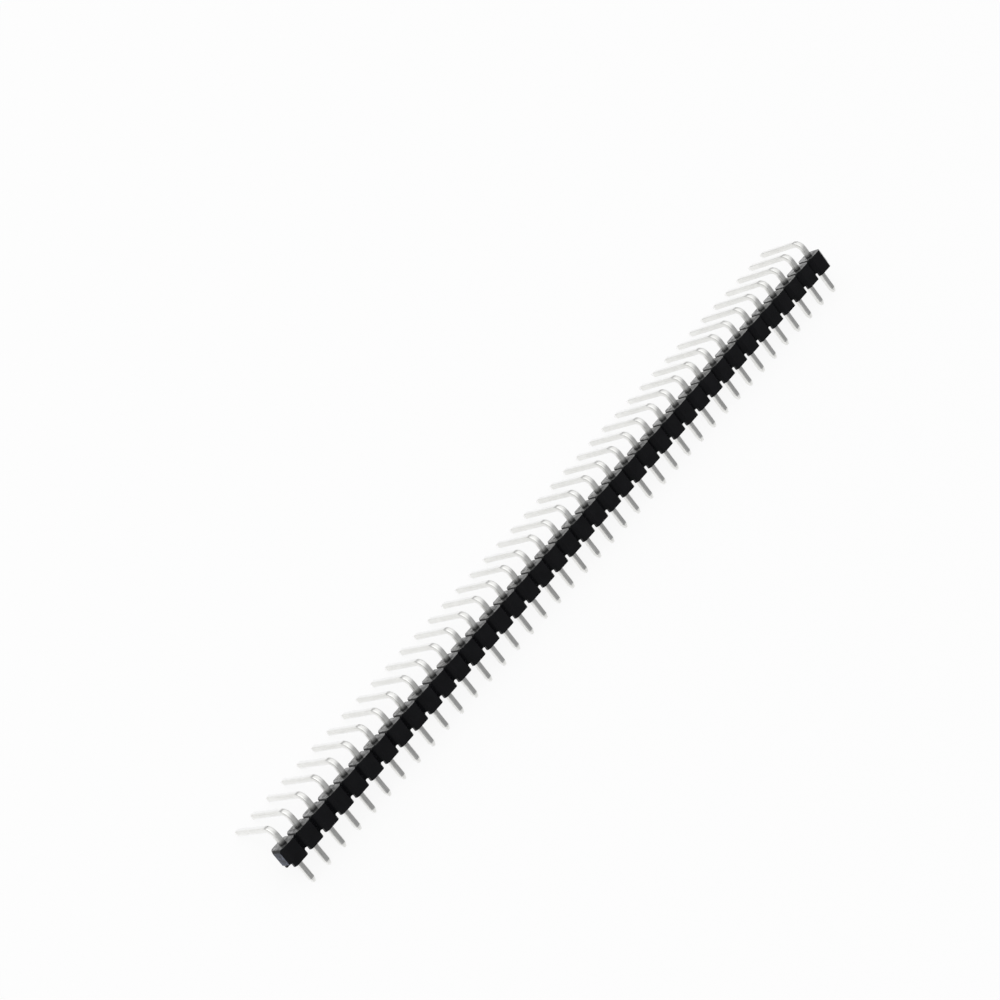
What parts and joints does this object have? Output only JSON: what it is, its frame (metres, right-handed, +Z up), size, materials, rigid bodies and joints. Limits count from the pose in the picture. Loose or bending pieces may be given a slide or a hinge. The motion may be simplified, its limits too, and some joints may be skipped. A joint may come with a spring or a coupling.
{
  "type": "pin header strip",
  "caption": "Right-angle male pin header strip: a black breakaway housing of octagonal cells that holds a single row of bent square plated pins.",
  "frame": {"origin": "on the surface that the strip lies on, below the middle of its bounding box", "axes": "+X along the row of pins, +Z up; the bent legs reach down towards +Y and the straight tails towards -Y"},
  "size_m": [0.1016, 0.0104, 0.0051],
  "materials": {
    "housing": "black moulded thermoplastic with a faint sheen",
    "pin_plating": "bright tin plate over brass wire"
  },
  "bodies": {
    "root": {"housing": "housing", "pin_01": "pin_plating", "pin_02": "pin_plating", "pin_03": "pin_plating", "pin_04": "pin_plating", "pin_05": "pin_plating", "pin_06": "pin_plating", "pin_07": "pin_plating", "pin_08": "pin_plating", "pin_09": "pin_plating", "pin_10": "pin_plating", "pin_11": "pin_plating", "pin_12": "pin_plating", "pin_13": "pin_plating", "pin_14": "pin_plating", "pin_15": "pin_plating", "pin_16": "pin_plating", "pin_17": "pin_plating", "pin_18": "pin_plating", "pin_19": "pin_plating", "pin_20": "pin_plating", "pin_21": "pin_plating", "pin_22": "pin_plating", "pin_23": "pin_plating", "pin_24": "pin_plating", "pin_25": "pin_plating", "pin_26": "pin_plating", "pin_27": "pin_plating", "pin_28": "pin_plating", "pin_29": "pin_plating", "pin_30": "pin_plating", "pin_31": "pin_plating", "pin_32": "pin_plating", "pin_33": "pin_plating", "pin_34": "pin_plating", "pin_35": "pin_plating", "pin_36": "pin_plating", "pin_37": "pin_plating", "pin_38": "pin_plating", "pin_39": "pin_plating", "pin_40": "pin_plating"}
  },
  "joints": []
}
